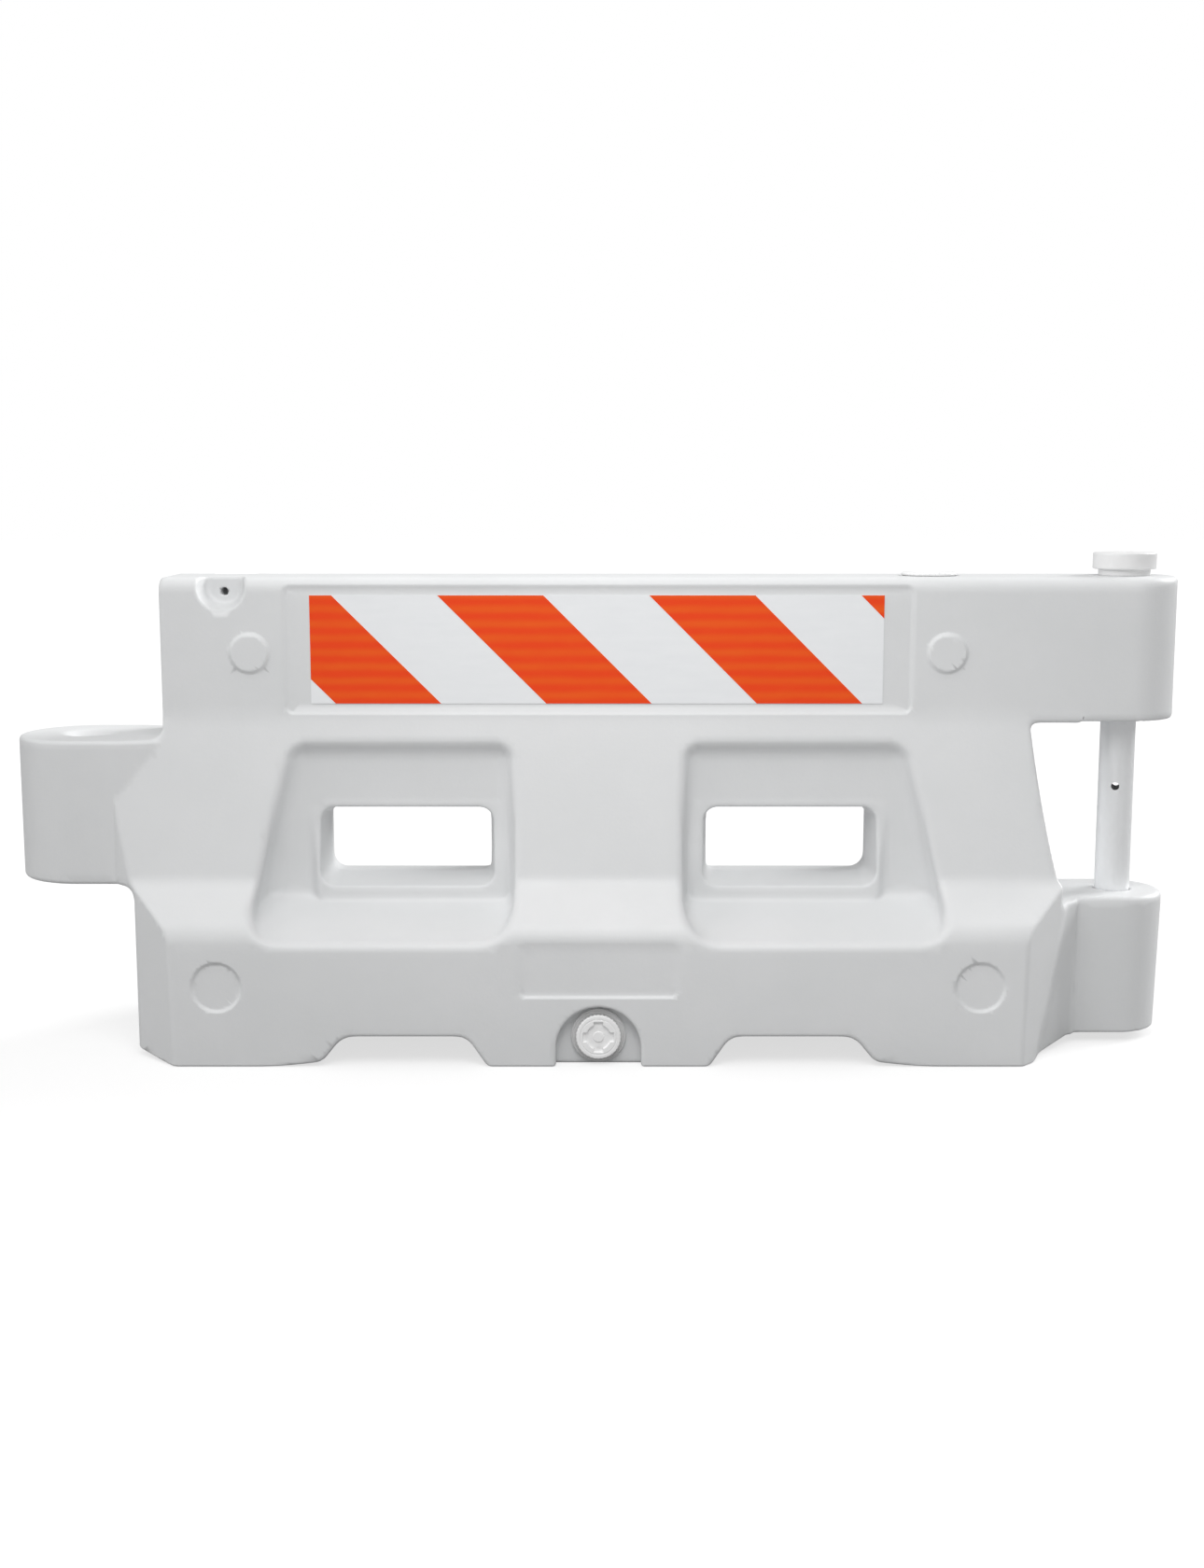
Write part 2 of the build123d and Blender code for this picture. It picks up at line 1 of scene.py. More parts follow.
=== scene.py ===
"""Looks of a water-fillable plastic barricade module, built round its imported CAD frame. Metres.

The moulding, the screwed pieces and the pin's head are built as smooth distance fields in millimetres,
measured from the moulding's own middle plane, and turned into closed meshes.
"""

import math

import bpy
import numpy as np
import openvdb
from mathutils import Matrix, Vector


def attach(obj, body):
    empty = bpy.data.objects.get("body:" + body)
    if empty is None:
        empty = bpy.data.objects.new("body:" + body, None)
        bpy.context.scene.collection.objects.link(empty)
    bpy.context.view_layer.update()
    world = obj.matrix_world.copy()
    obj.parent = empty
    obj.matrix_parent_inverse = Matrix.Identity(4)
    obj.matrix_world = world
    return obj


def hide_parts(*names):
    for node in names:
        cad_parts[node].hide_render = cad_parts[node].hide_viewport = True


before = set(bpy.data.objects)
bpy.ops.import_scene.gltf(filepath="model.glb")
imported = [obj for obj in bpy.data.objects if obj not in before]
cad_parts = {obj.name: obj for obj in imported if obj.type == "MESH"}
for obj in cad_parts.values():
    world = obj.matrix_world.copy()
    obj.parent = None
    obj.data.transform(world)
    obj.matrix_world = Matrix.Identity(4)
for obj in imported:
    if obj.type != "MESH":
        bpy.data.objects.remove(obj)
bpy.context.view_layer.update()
MM = 0.001
WELD = 0.001  # millimetres: mesh points that fall in one cell of this size become one point
NEWTON_STEPS = 3  # how often mesh points are moved onto the exact surface

# ---- dimensions of the moulding, in millimetres ----
WALL_TOP = 813.0
BASE_HALF, LEDGE_HALF, LEDGE_Z = 228.0, 222.0, 228.0
HIP_HALF, HIP_Z = 150.0, 301.0
NECK_HALF, NECK_Z = 90.0, 577.0
CORNER_X, CORNER_Y, END_X, END_Y = 720.0, 222.0, 828.0, 119.0
UPPER_END_X, BASE_END_X = 745.0, 790.0
TOE_X, TOE_RISE_Z = 720.0, 13.0
HEEL_X = 735.0
SLANT_Y, SLANT_DIRECTION = 210.0, (0.92, 0.37, -0.13)
LEFT_AXIS_X, LEFT_R, LEFT_BOTTOM, LEFT_TOP = 893.0, 119.0, 290.0, 538.0
LEFT_BORE_R, LEFT_FLARE_R, LEFT_FLARE_DEPTH = 36.0, 47.0, 11.0
LEFT_NECK_X, LEFT_NECK_RUN, LEFT_NECK_SPREAD, LEFT_NECK_END_X = 817.0, 94.0, 26.0, 700.0
RIGHT_AXIS_X, RIGHT_R = 911.0, 90.0
UPPER_EAR_BOTTOM, LOWER_EAR_BOTTOM, LOWER_EAR_TOP = 565.0, 17.0, 261.0
LOWER_EAR_R, LOWER_EAR_DRAFT, LOWER_EAR_START_X = 85.5, 1.4, 700.0
FLARE_X, FLARE_Y, FLARE_LEAN, FLARE_SLOPE, FLARE_HALF = 818.0, 90.0, 12.0, 0.9, 165.0
POCKET_R, EAR_BORE_R = 193.0, 32.0
BODY_X = (LEFT_AXIS_X + LEFT_R - RIGHT_AXIS_X - RIGHT_R) / 2

SLOT_INNER_X, SLOT_OUTER_X, SLOT_BOTTOM, SLOT_TOP = 190.0, 470.0, 293.0, 410.0
SLOT_ROUND, SLOT_DRAFT, SLOT_MOUTH_Y = 16.0, 6.5, 110.0
RECESS_INNER_X, RECESS_OUTER_TOP_X, RECESS_OUTER_LOW_X = 147.0, 525.0, 592.0
RECESS_TOP, RECESS_BOTTOM, RECESS_FLOOR_Y, RAMP_INNER_Z = 531.0, 207.0, 80.0, 262.0
RECESS_ROUND_LOW, RECESS_ROUND_TOP, RECESS_TAPER = 68.0, 28.0, 0.3
COLLAR_PROUD, COLLAR_X, COLLAR_HALF, COLLAR_BOTTOM, COLLAR_TOP = 12.0, 323.0, 167.0, 247.0, 425.0
COLLAR_ROUND, COLLAR_TAPER, COLLAR_FADE_Z, COLLAR_FADE = 32.0, 0.6, 365.0, 130.0
CHANNEL_INNER_X, CHANNEL_INNER_TOP_X, CHANNEL_TOP = 187.0, 222.0, 51.0
CHANNEL_OUTER_TOP_X, CHANNEL_OUTER_X, CHANNEL_SKIRT_X, CHANNEL_SKIRT_Z = 430.0, 465.0, 525.0, 8.0
FRAME_HALF, FRAME_BOTTOM, FRAME_TOP, FRAME_DEPTH, FRAME_ROUND = 535.0, 581.0, 799.0, 4.0, 14.0
BOSS_X, BOSS_Z, BOSS_R, BOSS_PROUD = 593.0, 685.0, 36.0, 5.0
DISC_X, DISC_Z, DISC_R, DISC_DEPTH = 640.0, 136.0, 44.0, 4.2
PANEL_HALF, PANEL_BOTTOM, PANEL_TOP, PANEL_DEPTH, PANEL_ROUND = 134.0, 117.0, 212.0, 3.6, 12.0
LIGHT_X, LIGHT_LIP_R, LIGHT_FLOOR_R, LIGHT_DEPTH = -639.5, 41.5, 31.5, 39.0
LIGHT_CENTRE_Z, LIGHT_HOLE_Z, LIGHT_HOLE_R = 798.5, 788.0, 6.8

DRAIN_Z, NICHE_HALF, NICHE_TOP, NICHE_FLOOR_Y = 50.0, 71.5, 102.0, 204.0
DRAIN_HOLE_END_Y, FILL_HOLE_END_Z = 60.0, 640.0  # where the blind holes stop
DRAIN_FLANGE_R, DRAIN_FLANGE_T, DRAIN_SLEEVE_R, DRAIN_SLEEVE_BACK = 46.0, 6.0, 34.5, 14.0
DRAIN_HEAD_R, DRAIN_HEAD_T, DRAIN_SHANK_R, DRAIN_SHANK_L, DRAIN_GASKET_T = 38.0, 9.0, 29.5, 18.0, 3.0
FILL_X, FILL_SEAT_R, FILL_SEAT_DEPTH = 573.0, 50.3, 6.0
FILL_FLANGE_R, FILL_FLANGE_T, FILL_SLEEVE_R, FILL_SLEEVE_BACK = 50.0, 4.0, 41.0, 18.0
FILL_SHANK_R, FILL_SHANK_L, FILL_HEAD_R, FILL_HEAD_T = 35.5, 18.0, 48.0, 6.0
THREAD_PITCH, THREAD_DEPTH = 5.0, 1.6
TOOL_DEPTH, PLUG_TOOL_R, CAP_TOOL_R = 4.0, 21.0, 26.0
NOTCH_HALF_DEEP, NOTCH_HALF_WIDE, BUTTON_R, BUTTON_T, KNURLS, KNURL_DEPTH = 4.0, 8.0, 9.0, 1.6, 36, 0.35
SHANK_WALL, SHANK_FLOOR, HEAD_GROOVE_HALF, GROOVE_DEPTH = 7.0, 3.5, 0.8, 0.5
RING_GROOVE_INSET, RING_GROOVE_HALF = 3.2, 0.6

PIN_R, PIN_BORE_R, HUB_R, HUB_T, HEAD_R, HEAD_T, SPIGOT_L = 30.15, 26.25, 44.0, 11.0, 53.75, 29.0, 40.0
HEAD_EDGE, DISH_R, DISH_DEPTH = 3.5, 15.0, 0.7
INSERT_GAP, THREAD_GAP, HEAD_GAP = 0.1, 0.3, 0.1  # round moulded-in inserts, screwed pieces, the pin's tube

# how widely neighbouring faces of the moulding are rounded or filleted into each other
NECK_FILLET, HIP_FILLET, LEDGE_ROUND, TOP_ROUND, SOLE_ROUND = 2.0, 7.0, 14.0, 26.0, 4.0
END_STEP_ROUND, END_STEP_FILLET, ROOT_FILLET, END_ROUND, CORNER_ROUND = 8.0, 26.0, 24.0, 9.0, 4.0
WEB_ROUND, WEB_FILLET, LOWER_EAR_ROUND = 4.0, 5.0, 5.0
EAR_NOSE_ROUND, EAR_FILLET, KNUCKLE_FILLET, KNUCKLE_ROUND = 11.0, 10.0, 1.5, 9.0
POCKET_CORNER, POCKET_EDGE, EAR_BORE_EDGE, KNUCKLE_BORE_EDGE = 16.0, 13.0, 3.0, 4.0
RECESS_CORNER, RAMP_FILLET, RECESS_EDGE, COLLAR_FILLET, SLOT_EDGE = 22.0, 16.0, 15.0, 10.0, 6.0
CHANNEL_CORNER, CHANNEL_EDGE = 16.0, 8.0
COLLAR_ROUND_OVER, LEFT_FLARE_BLEND = 6.0, 4.0
LIGHT_CORNER, LIGHT_EDGE, LIGHT_HOLE_EDGE = 8.0, 5.0, 2.0
NICHE_CORNER, NICHE_EDGE, FILL_SEAT_EDGE = 5.0, 6.0, 1.5

# smooth steps in the long faces: how far inside its outline a step lies, how wide it is, and by how much
# and below which height it grows narrower
FRAME_INSET, FRAME_STEP, FRAME_SHARPER_LOW, FRAME_SHARP_Z = 2.0, 12.0, 6.0, 602.0
ROUND_INSET, BOSS_STEP, DISC_STEP = 3.0, 8.0, 7.0
PANEL_INSET, PANEL_STEP, PANEL_SHARPER_LOW, PANEL_SHARP_Z = 3.0, 30.0, 25.0, 130.0
SHARPEN_OVER, BASE_FACE_Y, BASE_FACE_STEP = 30.0, 200.0, 20.0

BAND_PITCH = 0.0243  # metres between the faint bands of the orange sheeting

# ---- camera and light ----
CAMERA_X, CAMERA_DISTANCE, CAMERA_HEIGHT, CAMERA_PITCH = 0.006, 3.381, 0.970, 8.8
CAMERA_LENS, CAMERA_SENSOR = 44.57, 36.0
# strengths of the surroundings, of each light and of the floor's glow towards the camera
SKY, OVERHEAD, SIDE, LEFT, FRONT, FLOOR_GLOW = 0.50, 0.26, 0.72, 0.16, 7.0, 0.68


# ---- distance fields ----
def smax(a, b, k=0.0):
    """The larger of two fields, rounded over a width of k."""
    if np.ndim(k) == 0 and k <= 0:
        return np.maximum(a, b)
    h = np.maximum(k - np.abs(a - b), 0) / k
    return np.maximum(a, b) + h * h * k * 0.25


def smin(a, b, k=0.0):
    """The smaller of two fields, filleted over a width of k."""
    return -smax(-a, -b, k)


def cut(solid, void, k=0.0):
    """A solid with a void taken out of it."""
    return smax(solid, -void, k)


def circular(a, b, r):
    """The intersection of two fields with a true round edge of radius r."""
    return np.minimum(np.maximum(a, b), -r) + np.sqrt(np.maximum(a + r, 0) ** 2 + np.maximum(b + r, 0) ** 2)


def beyond(u, v, start, end):
    """Distance outside the line from start to end; the solid lies on the line's right."""
    (u0, v0), (u1, v1) = start, end
    length = math.hypot(u1 - u0, v1 - v0)
    return ((u - u0) * -(v1 - v0) + (v - v0) * (u1 - u0)) / length


def rounded_box(u, v, half_u, half_v, r):
    """A rounded rectangle centred on the origin."""
    qu, qv = np.abs(u) - half_u + r, np.abs(v) - half_v + r
    outside = np.sqrt(np.maximum(qu, 0) ** 2 + np.maximum(qv, 0) ** 2)
    return outside + np.minimum(np.maximum(qu, qv), 0) - r


def slab(field, w, low, high, k=0.0):
    """A flat shape given a thickness from low to high along w."""
    return smax(smax(field, w - high, k), low - w, k)


def step(value, width):
    """A smooth rise from 0 to 1 as value goes from -width / 2 to +width / 2."""
    t = np.clip(value / width + 0.5, 0, 1)
    return t * t * (3 - 2 * t)


def around(x, y, centre_x):
    """Distance from an upright axis."""
    return np.sqrt((x - centre_x) ** 2 + y ** 2)


def cross_section(ay, z):
    """Upright base, sloping ledge, long slope, upright upper wall."""
    base = circular(beyond(ay, z, (LEDGE_HALF, LEDGE_Z), (BASE_HALF, 0)),
                    beyond(ay, z, (HIP_HALF, HIP_Z), (LEDGE_HALF, LEDGE_Z)), LEDGE_ROUND)
    slope = beyond(ay, z, (NECK_HALF, NECK_Z), (HIP_HALF, HIP_Z))
    section = smin(smin(ay - NECK_HALF, slope, NECK_FILLET), base, HIP_FILLET)
    return smax(section, z - WALL_TOP, TOP_ROUND)


def with_ends(section, x, ax, ay, z):
    """The section cut to its stepped left end, slanting right end, bevelled corners and lifted feet."""
    left = smin(-x - UPPER_END_X, slab(-x - END_X, z, LEFT_BOTTOM, LEFT_TOP, END_STEP_ROUND),
                END_STEP_FILLET)
    left = smin(left, smax(-x - BASE_END_X, z - LEFT_BOTTOM - 60, 0), ROOT_FILLET)
    toe = beyond(-x, z, (BASE_END_X, TOE_RISE_Z), (TOE_X, 0))
    heel = beyond(x, z, (END_X, LOWER_EAR_BOTTOM), (HEEL_X, 0))
    across, along = END_X - CORNER_X, CORNER_Y - END_Y
    corner = ((ax - CORNER_X) * along + (ay - CORNER_Y) * across) / math.hypot(across, along)
    nx, ny, nz = SLANT_DIRECTION
    slant = ((x - HEEL_X) * nx + (ay - SLANT_Y) * ny + z * nz) / math.sqrt(nx ** 2 + ny ** 2 + nz ** 2)
    web = x - FLARE_X + (ay - FLARE_Y) * FLARE_SLOPE - z * FLARE_LEAN / LOWER_EAR_TOP
    web = smax(web / math.hypot(1, FLARE_SLOPE), z - LOWER_EAR_TOP, WEB_ROUND)
    right = smin(slant, smax(web, ay - FLARE_HALF, 0), WEB_FILLET)
    body = smax(section, smax(corner, right, CORNER_ROUND), CORNER_ROUND)
    body = smax(smax(body, left, END_ROUND), x - END_X, 0)
    return smax(smax(smax(body, -z, SOLE_ROUND), toe, SOLE_ROUND), heel, SOLE_ROUND)


def with_ears(body, x, y, ay, z):
    """The upper ear, flush with the wall, and the lower ear, which narrows downwards."""
    nose = np.where(x > RIGHT_AXIS_X, around(x, y, RIGHT_AXIS_X) - RIGHT_R, ay - RIGHT_R)
    edge = TOP_ROUND - (TOP_ROUND - EAR_NOSE_ROUND) * np.clip((x - RIGHT_AXIS_X) / RIGHT_R, 0, 1)
    upper = smax(smax(nose, UPPER_END_X - 60 - x, 0), z - WALL_TOP, edge)
    body = smin(body, smax(upper, UPPER_EAR_BOTTOM - z, 0), 0)
    reach = LOWER_EAR_R - (LOWER_EAR_TOP - z) * math.tan(math.radians(LOWER_EAR_DRAFT))
    nose = np.where(x > RIGHT_AXIS_X, around(x, y, RIGHT_AXIS_X), ay) - reach
    lower = slab(nose, z, LOWER_EAR_BOTTOM, LOWER_EAR_TOP + 20, LOWER_EAR_ROUND)  # the pocket trims its top
    lower = smax(lower, LOWER_EAR_START_X - x, 0)
    return smin(body, lower, EAR_FILLET)


def with_knuckle(body, x, y, ay, z):
    """The single knuckle and the neck that joins it to the wall."""
    taper = (x + LEFT_NECK_X) * LEFT_NECK_SPREAD + (ay - LEFT_R) * LEFT_NECK_RUN
    neck = np.maximum(ay - LEFT_R, taper / math.hypot(LEFT_NECK_SPREAD, LEFT_NECK_RUN))
    neck = np.maximum(np.maximum(neck, -x - LEFT_AXIS_X), x + LEFT_NECK_END_X)
    knuckle = smin(around(x, y, -LEFT_AXIS_X) - LEFT_R, neck, 0)
    return smin(body, slab(knuckle, z, LEFT_BOTTOM, LEFT_TOP, KNUCKLE_ROUND), KNUCKLE_FILLET)


def with_coupling_voids(body, x, y, z):
    """The pocket for the next module's knuckle, the ears' bore and the knuckle's flared bore."""
    pocket = slab(around(x, y, RIGHT_AXIS_X) - POCKET_R, z, LOWER_EAR_TOP, UPPER_EAR_BOTTOM, POCKET_CORNER)
    body = cut(body, pocket, POCKET_EDGE)
    body = cut(body, around(x, y, RIGHT_AXIS_X) - EAR_BORE_R, EAR_BORE_EDGE)
    radial = around(x, y, -LEFT_AXIS_X)
    mouth = np.maximum(z - (LEFT_TOP - LEFT_FLARE_DEPTH), LEFT_BOTTOM + LEFT_FLARE_DEPTH - z)
    mouth = np.minimum(mouth, LEFT_FLARE_DEPTH + 6)
    flare = radial - LEFT_BORE_R - mouth * (LEFT_FLARE_R - LEFT_BORE_R) / LEFT_FLARE_DEPTH
    return cut(body, smin(radial - LEFT_BORE_R, flare * 0.75, LEFT_FLARE_BLEND), KNUCKLE_BORE_EDGE)


def with_fork_recesses(body, ax, ay, z):
    """Forklift recesses: outline, floor, the ramp below the slot, the flat collar and the slot itself."""
    low = circular(RECESS_BOTTOM - z, RECESS_INNER_X - ax, RECESS_ROUND_LOW)
    side = beyond(ax, z, (RECESS_OUTER_TOP_X, RECESS_TOP), (RECESS_OUTER_LOW_X, RECESS_BOTTOM))
    high = np.maximum(circular(z - RECESS_TOP, RECESS_INNER_X - ax, RECESS_ROUND_TOP),
                      circular(z - RECESS_TOP, side, RECESS_ROUND_TOP))
    shape = np.maximum(np.maximum(low, circular(RECESS_BOTTOM - z, side, RECESS_ROUND_LOW)), high)
    steep = (RAMP_INNER_Z - RECESS_BOTTOM) / (LEDGE_HALF - RECESS_FLOOR_Y)
    ramp = (RAMP_INNER_Z - z - (ay - RECESS_FLOOR_Y) * steep) / math.hypot(1, steep)
    shape = shape + RECESS_TAPER * np.clip(SLOT_MOUTH_Y - ay, -10, 30)
    scoop = smax(smax(shape, RECESS_FLOOR_Y - ay, RECESS_CORNER), ramp, RAMP_FILLET)
    body = cut(body, scoop, RECESS_EDGE)
    collar = rounded_box(ax - COLLAR_X, z - (COLLAR_BOTTOM + COLLAR_TOP) / 2, COLLAR_HALF,
                         (COLLAR_TOP - COLLAR_BOTTOM) / 2, COLLAR_ROUND)
    collar = collar + COLLAR_TAPER * np.clip(ay - RECESS_FLOOR_Y, 0, 20) - 3
    proud = COLLAR_PROUD - (COLLAR_PROUD + 3) * step(z - COLLAR_FADE_Z, COLLAR_FADE)
    body = smin(body, smax(collar, ay - RECESS_FLOOR_Y - proud, COLLAR_ROUND_OVER), COLLAR_FILLET)
    spread = math.tan(math.radians(SLOT_DRAFT))
    slot = rounded_box(ax - (SLOT_INNER_X + SLOT_OUTER_X) / 2, z - (SLOT_BOTTOM + SLOT_TOP) / 2,
                       (SLOT_OUTER_X - SLOT_INNER_X) / 2, (SLOT_TOP - SLOT_BOTTOM) / 2, SLOT_ROUND)
    slot = smax((slot - ay * spread) * math.cos(math.radians(SLOT_DRAFT)), ay - SLOT_MOUTH_Y, 0)
    return cut(body, slot, SLOT_EDGE)


def with_channels(body, ax, z):
    """The two channels through the base, each with a low skirt at its outer end."""
    inner = beyond(ax, z, (CHANNEL_INNER_X, 0), (CHANNEL_INNER_TOP_X, CHANNEL_TOP))
    outer = beyond(ax, z, (CHANNEL_OUTER_TOP_X, CHANNEL_TOP), (CHANNEL_OUTER_X, CHANNEL_SKIRT_Z))
    channel = smax(smax(z - CHANNEL_TOP, inner, CHANNEL_CORNER), outer, CHANNEL_CORNER)
    skirt = beyond(ax, z, (CHANNEL_OUTER_X, CHANNEL_SKIRT_Z), (CHANNEL_SKIRT_X, 0))
    skirt = smax(skirt, CHANNEL_OUTER_TOP_X - ax, 0)
    return cut(body, smin(channel, skirt, CHANNEL_EDGE), CHANNEL_EDGE)


def with_face_details(body, x, y, ax, ay, z):
    """The sheeting's frame, the bosses, the discs and the panel, as smooth steps in the long faces."""
    on_wall = step(ay - NECK_HALF + 14, 10)
    window = rounded_box(x, z - (FRAME_BOTTOM + FRAME_TOP) / 2, FRAME_HALF, (FRAME_TOP - FRAME_BOTTOM) / 2,
                         FRAME_ROUND)
    width = FRAME_STEP - FRAME_SHARPER_LOW * step(FRAME_SHARP_Z - z, SHARPEN_OVER)
    body = body + FRAME_DEPTH * step(-window - FRAME_INSET, width) * on_wall
    boss = np.sqrt((ax - BOSS_X) ** 2 + (z - BOSS_Z) ** 2)
    body = body - BOSS_PROUD * step(BOSS_R - ROUND_INSET - boss, BOSS_STEP) * on_wall
    disc = np.sqrt((ax - DISC_X) ** 2 + (z - DISC_Z) ** 2)
    on_base = step(ay - BASE_FACE_Y, BASE_FACE_STEP)
    body = body + DISC_DEPTH * step(DISC_R - ROUND_INSET - disc, DISC_STEP) * on_base
    panel = rounded_box(x, z - (PANEL_BOTTOM + PANEL_TOP) / 2, PANEL_HALF, (PANEL_TOP - PANEL_BOTTOM) / 2,
                        PANEL_ROUND)
    width = PANEL_STEP - PANEL_SHARPER_LOW * step(PANEL_SHARP_Z - z, SHARPEN_OVER)
    on_front = step(-y - BASE_FACE_Y, BASE_FACE_STEP)
    return body + PANEL_DEPTH * step(-panel - PANEL_INSET, width) * on_front


def with_light_recess(body, x, ay, z):
    """The warning-light bolt recess in each face, open to the top, and the bolt hole between them."""
    inward = np.clip((NECK_HALF - ay) / LIGHT_DEPTH, -0.3, 1.2)
    above = np.maximum(LIGHT_CENTRE_Z - z, 0)
    light = np.sqrt((x - LIGHT_X) ** 2 + above ** 2) - LIGHT_LIP_R + inward * (LIGHT_LIP_R - LIGHT_FLOOR_R)
    body = cut(body, smax(light, NECK_HALF - LIGHT_DEPTH - ay, LIGHT_CORNER), LIGHT_EDGE)
    hole = np.sqrt((x - LIGHT_X) ** 2 + (z - LIGHT_HOLE_Z) ** 2) - LIGHT_HOLE_R
    return cut(body, hole, LIGHT_HOLE_EDGE)


def with_drain_and_fill(body, x, y, z):
    """The drain's niche and hole, and the fill opening's seat and hole."""
    niche = np.sqrt(x ** 2 + np.maximum(z - NICHE_TOP + NICHE_HALF, 0) ** 2) - NICHE_HALF
    body = cut(body, smax(niche, NICHE_FLOOR_Y + y, NICHE_CORNER), NICHE_EDGE)
    hole = np.sqrt(x ** 2 + (z - DRAIN_Z) ** 2) - DRAIN_SLEEVE_R - INSERT_GAP
    body = cut(body, smax(hole, np.maximum(y + DRAIN_HOLE_END_Y, -y - BASE_HALF - 20), 0), 0)
    seat = around(x, y, FILL_X)
    body = cut(body, smax(seat - FILL_SEAT_R, WALL_TOP - FILL_SEAT_DEPTH - z, 0), FILL_SEAT_EDGE)
    return cut(body, smax(seat - FILL_SLEEVE_R - INSERT_GAP, FILL_HOLE_END_Z - z, 0), 0)


def shell_field(x, y, z):
    """The whole moulding, as a solid: the hollow inside isn't seen."""
    ax, ay = np.abs(x), np.abs(y)
    body = with_ends(cross_section(ay, z), x, ax, ay, z)
    body = with_ears(body, x, y, ay, z)
    body = with_knuckle(body, x, y, ay, z)
    body = with_coupling_voids(body, x, y, z)
    body = with_fork_recesses(body, ax, ay, z)
    body = with_channels(body, ax, z)
    body = with_face_details(body, x, y, ax, ay, z)
    body = with_light_recess(body, x, ay, z)
    return with_drain_and_fill(body, x, y, z)


def thread(radius, along, turn):
    """The radius of a right-handed thread round its mean radius, for points along and round its axis."""
    phase = (along / THREAD_PITCH - turn / (2 * math.pi)) % 1.0
    wave = np.clip(np.abs(phase - 0.5) * 4 - 1, -0.75, 0.75)
    return radius + wave * THREAD_DEPTH / 1.5


def screw_field(u, v, w, head_r, head_t, shank_r, shank_l, tool_r):
    """A screw plug or cap, with a tool recess, four notches and a button; w is outwards from its seat."""
    r = np.sqrt(u ** 2 + v ** 2)
    turn = np.arctan2(v, u)
    grip = np.cos(turn * KNURLS) * KNURL_DEPTH * np.clip((r - head_r + 4) / 3, 0, 1)
    head = slab(r - head_r + 0.4 - grip, w, 0, head_t, 2.4)
    ridge = thread(shank_r - 0.85, w, turn)
    fade = np.clip((w + shank_l) / 4, 0, 1) * np.clip(-(w + 0.5) / 3, 0, 1)
    shank = slab((r - (shank_r - 1.9) - (ridge - shank_r + 1.9) * fade) * 0.8, w, -shank_l, 2, 1.5)
    solid = smin(head, shank, 0.8)
    solid = cut(solid, smax(r - shank_r + SHANK_WALL, w + SHANK_FLOOR, 0), 1)
    solid = cut(solid, smax(r - tool_r, head_t - TOOL_DEPTH - w, 1.2), 1.6)
    notch = np.minimum(rounded_box(np.abs(u) - tool_r - 1, v, NOTCH_HALF_DEEP, NOTCH_HALF_WIDE, 0.8),
                       rounded_box(np.abs(v) - tool_r - 1, u, NOTCH_HALF_DEEP, NOTCH_HALF_WIDE, 0.8))
    solid = cut(solid, smax(notch, head_t - TOOL_DEPTH - w, 0.5), 0.8)
    button = smax(r - BUTTON_R, w - head_t + TOOL_DEPTH - BUTTON_T, 1.2)
    solid = smin(solid, smax(button, head_t - TOOL_DEPTH - 2 - w, 0), 1.0)
    groove = np.abs(r - (head_r + tool_r) / 2 - 1) - HEAD_GROOVE_HALF
    return cut(solid, smax(groove, head_t - GROOVE_DEPTH - w, 0.3), 0.4)


def insert_field(u, v, w, flange_r, flange_t, sleeve_r, sleeve_back, bore_r):
    """A moulded-in threaded insert: w is outwards from the surface it stands on."""
    r = np.sqrt(u ** 2 + v ** 2)
    turn = np.arctan2(v, u)
    solid = smin(slab(r - flange_r, w, 0, flange_t, 1.6), slab(r - sleeve_r, w, -sleeve_back, 1, 1.0), 0)
    ridge = thread(bore_r + 0.9, w, turn)
    fade = np.clip((w + sleeve_back) / 3, 0, 1) * np.clip((flange_t - w) / 2, 0, 1)
    bore = (r - (bore_r + 1.8) - (ridge - bore_r - 1.8) * fade) * 0.8
    groove = np.abs(r - flange_r + RING_GROOVE_INSET) - RING_GROOVE_HALF
    groove = smax(groove, flange_t - GROOVE_DEPTH - w, 0.3)
    return cut(cut(solid, bore, 0.6), groove, 0.4)


def head_field(u, v, w):
    """The coupling pin's head and hub, with the spigot inside the tube; w is up from the ear."""
    r = np.sqrt(u ** 2 + v ** 2)
    hub = slab(r - HUB_R, w, 0, HUB_T + 4, 1.2)
    head = circular(r - HEAD_R, w - HUB_T - HEAD_T, HEAD_EDGE)
    head = smax(head, HUB_T - w, 3)
    solid = cut(smin(hub, head, 2.0), smax(r - PIN_R - HEAD_GAP, w - HUB_T, 0), 0)
    spigot = slab(r - PIN_BORE_R + HEAD_GAP, w, HUB_T - SPIGOT_L, HUB_T + 6, 1.5)
    dish = smax(r - DISH_R, HUB_T + HEAD_T - DISH_DEPTH - w, 1.0)
    return cut(smin(solid, spigot, 0), dish, 1.5)


def welded(points, faces):
    """Points that share a cell joined into one, and the faces left without repeated corners."""
    places = np.round(points / WELD + 0.371).astype(np.int64)
    kept, joined = np.unique(places, axis=0, return_index=True, return_inverse=True)[1:]
    joined = joined.ravel().tolist()
    whole = []
    for face in faces:
        corners = [joined[corner] for corner in face]
        corners = [corner for index, corner in enumerate(corners) if corner != corners[index - 1]]
        if len(corners) > 2 and len(set(corners)) == len(corners):
            whole.append(corners)
    return points[kept], whole


